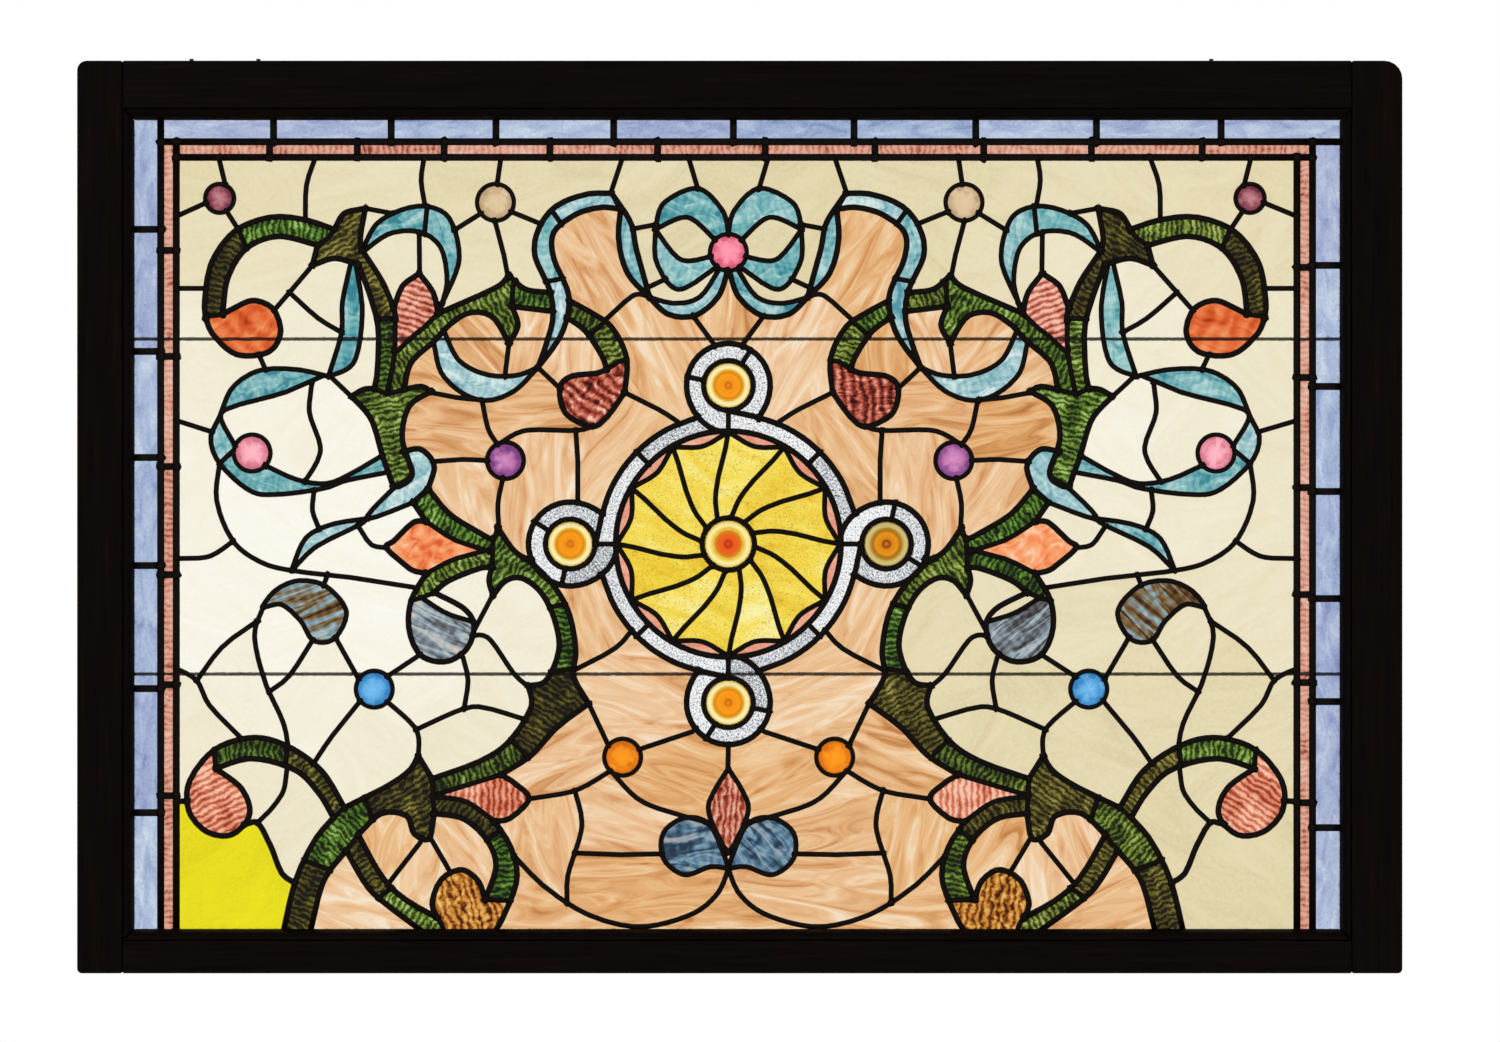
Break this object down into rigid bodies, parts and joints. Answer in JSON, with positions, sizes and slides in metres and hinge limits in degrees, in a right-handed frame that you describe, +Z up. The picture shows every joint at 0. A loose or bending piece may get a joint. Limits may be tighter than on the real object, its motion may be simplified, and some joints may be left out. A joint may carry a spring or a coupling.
{
  "type": "leaded glass window panel",
  "caption": "Leaded stained glass panel with scrolling vines, ribbons, pressed jewels and a spoked wheel, glazed in a dark wooden sash, made to hang or be fixed.",
  "frame": {"origin": "middle of the sash's flat top edge, half way through its depth", "axes": "+X to the right seen from the front, +Y towards the back, +Z up; the panel faces -Y"},
  "size_m": [1.105, 0.035, 0.761],
  "materials": {
    "stained_wood": "dark stained, worn satin",
    "lead": "dull grey lead with soldered joints",
    "bar_iron": "dull dark iron",
    "glass_blue": "mottled blue and violet",
    "glass_pink": "streaky pink",
    "glass_cream": "mottled cream opalescent",
    "glass_tan": "marbled peach and tan",
    "glass_amber": "streaky golden yellow",
    "glass_white": "clear hammered",
    "glass_yellow": "bright mottled yellow",
    "glass_green": "rippled dark green",
    "glass_turquoise": "streaky turquoise",
    "jewel_plum": "pressed, clear plum",
    "jewel_cream": "pressed, clear straw",
    "jewel_violet": "pressed, clear violet",
    "jewel_pink": "pressed, clear pink",
    "jewel_blue": "pressed, clear blue",
    "jewel_orange": "pressed, clear orange",
    "jewel_rose": "pressed, clear rose",
    "rondel_amber": "pressed, clear amber"
  },
  "bodies": {
    "root": {"stile_left": "stained_wood", "stile_right": "stained_wood", "rail_top": "stained_wood", "rail_bottom": "stained_wood", "bead_left": "stained_wood", "bead_right": "stained_wood", "bead_top": "stained_wood", "bead_bottom": "stained_wood", "lead_matrix": "lead", "saddle_bar_upper": "bar_iron", "saddle_bar_lower": "bar_iron", "border_blue_left": "glass_blue", "border_blue_top": "glass_blue", "border_blue_right": "glass_blue", "border_pink_left": "glass_pink", "border_pink_top": "glass_pink", "border_pink_right": "glass_pink", "field_cream": "glass_cream", "field_tan_upper": "glass_tan", "field_tan_lower": "glass_tan", "wheel_yellow": "glass_amber", "ring_white": "glass_white", "corner_left": "glass_yellow", "corner_right": "glass_cream", "vine_upper_left": "glass_green", "vine_upper_right": "glass_green", "vine_shoot_left": "glass_green", "vine_shoot_right": "glass_green", "vine_lower_left": "glass_green", "vine_lower_right": "glass_green", "ribbon_loop_left": "glass_turquoise", "ribbon_loop_right": "glass_turquoise", "ribbon_limb_left": "glass_turquoise", "ribbon_limb_right": "glass_turquoise", "scroll_field_left": "glass_cream", "scroll_field_right": "glass_cream", "foot_field_left": "glass_tan", "foot_field_right": "glass_tan", "foot_corner_left": "glass_tan", "foot_corner_right": "glass_tan", "jewel_plum_left": "jewel_plum", "jewel_plum_right": "jewel_plum", "jewel_cream_left": "jewel_cream", "jewel_cream_right": "jewel_cream", "jewel_violet_left": "jewel_violet", "jewel_violet_right": "jewel_violet", "jewel_pink_left": "jewel_pink", "jewel_pink_right": "jewel_pink", "jewel_blue_left": "jewel_blue", "jewel_blue_right": "jewel_blue", "jewel_orange_left": "jewel_orange", "jewel_orange_right": "jewel_orange", "jewel_rose": "jewel_rose", "rondel_top": "rondel_amber", "rondel_left": "rondel_amber", "rondel_bottom": "rondel_amber", "rondel_right": "rondel_amber", "rondel_centre": "rondel_amber"}
  },
  "joints": []
}
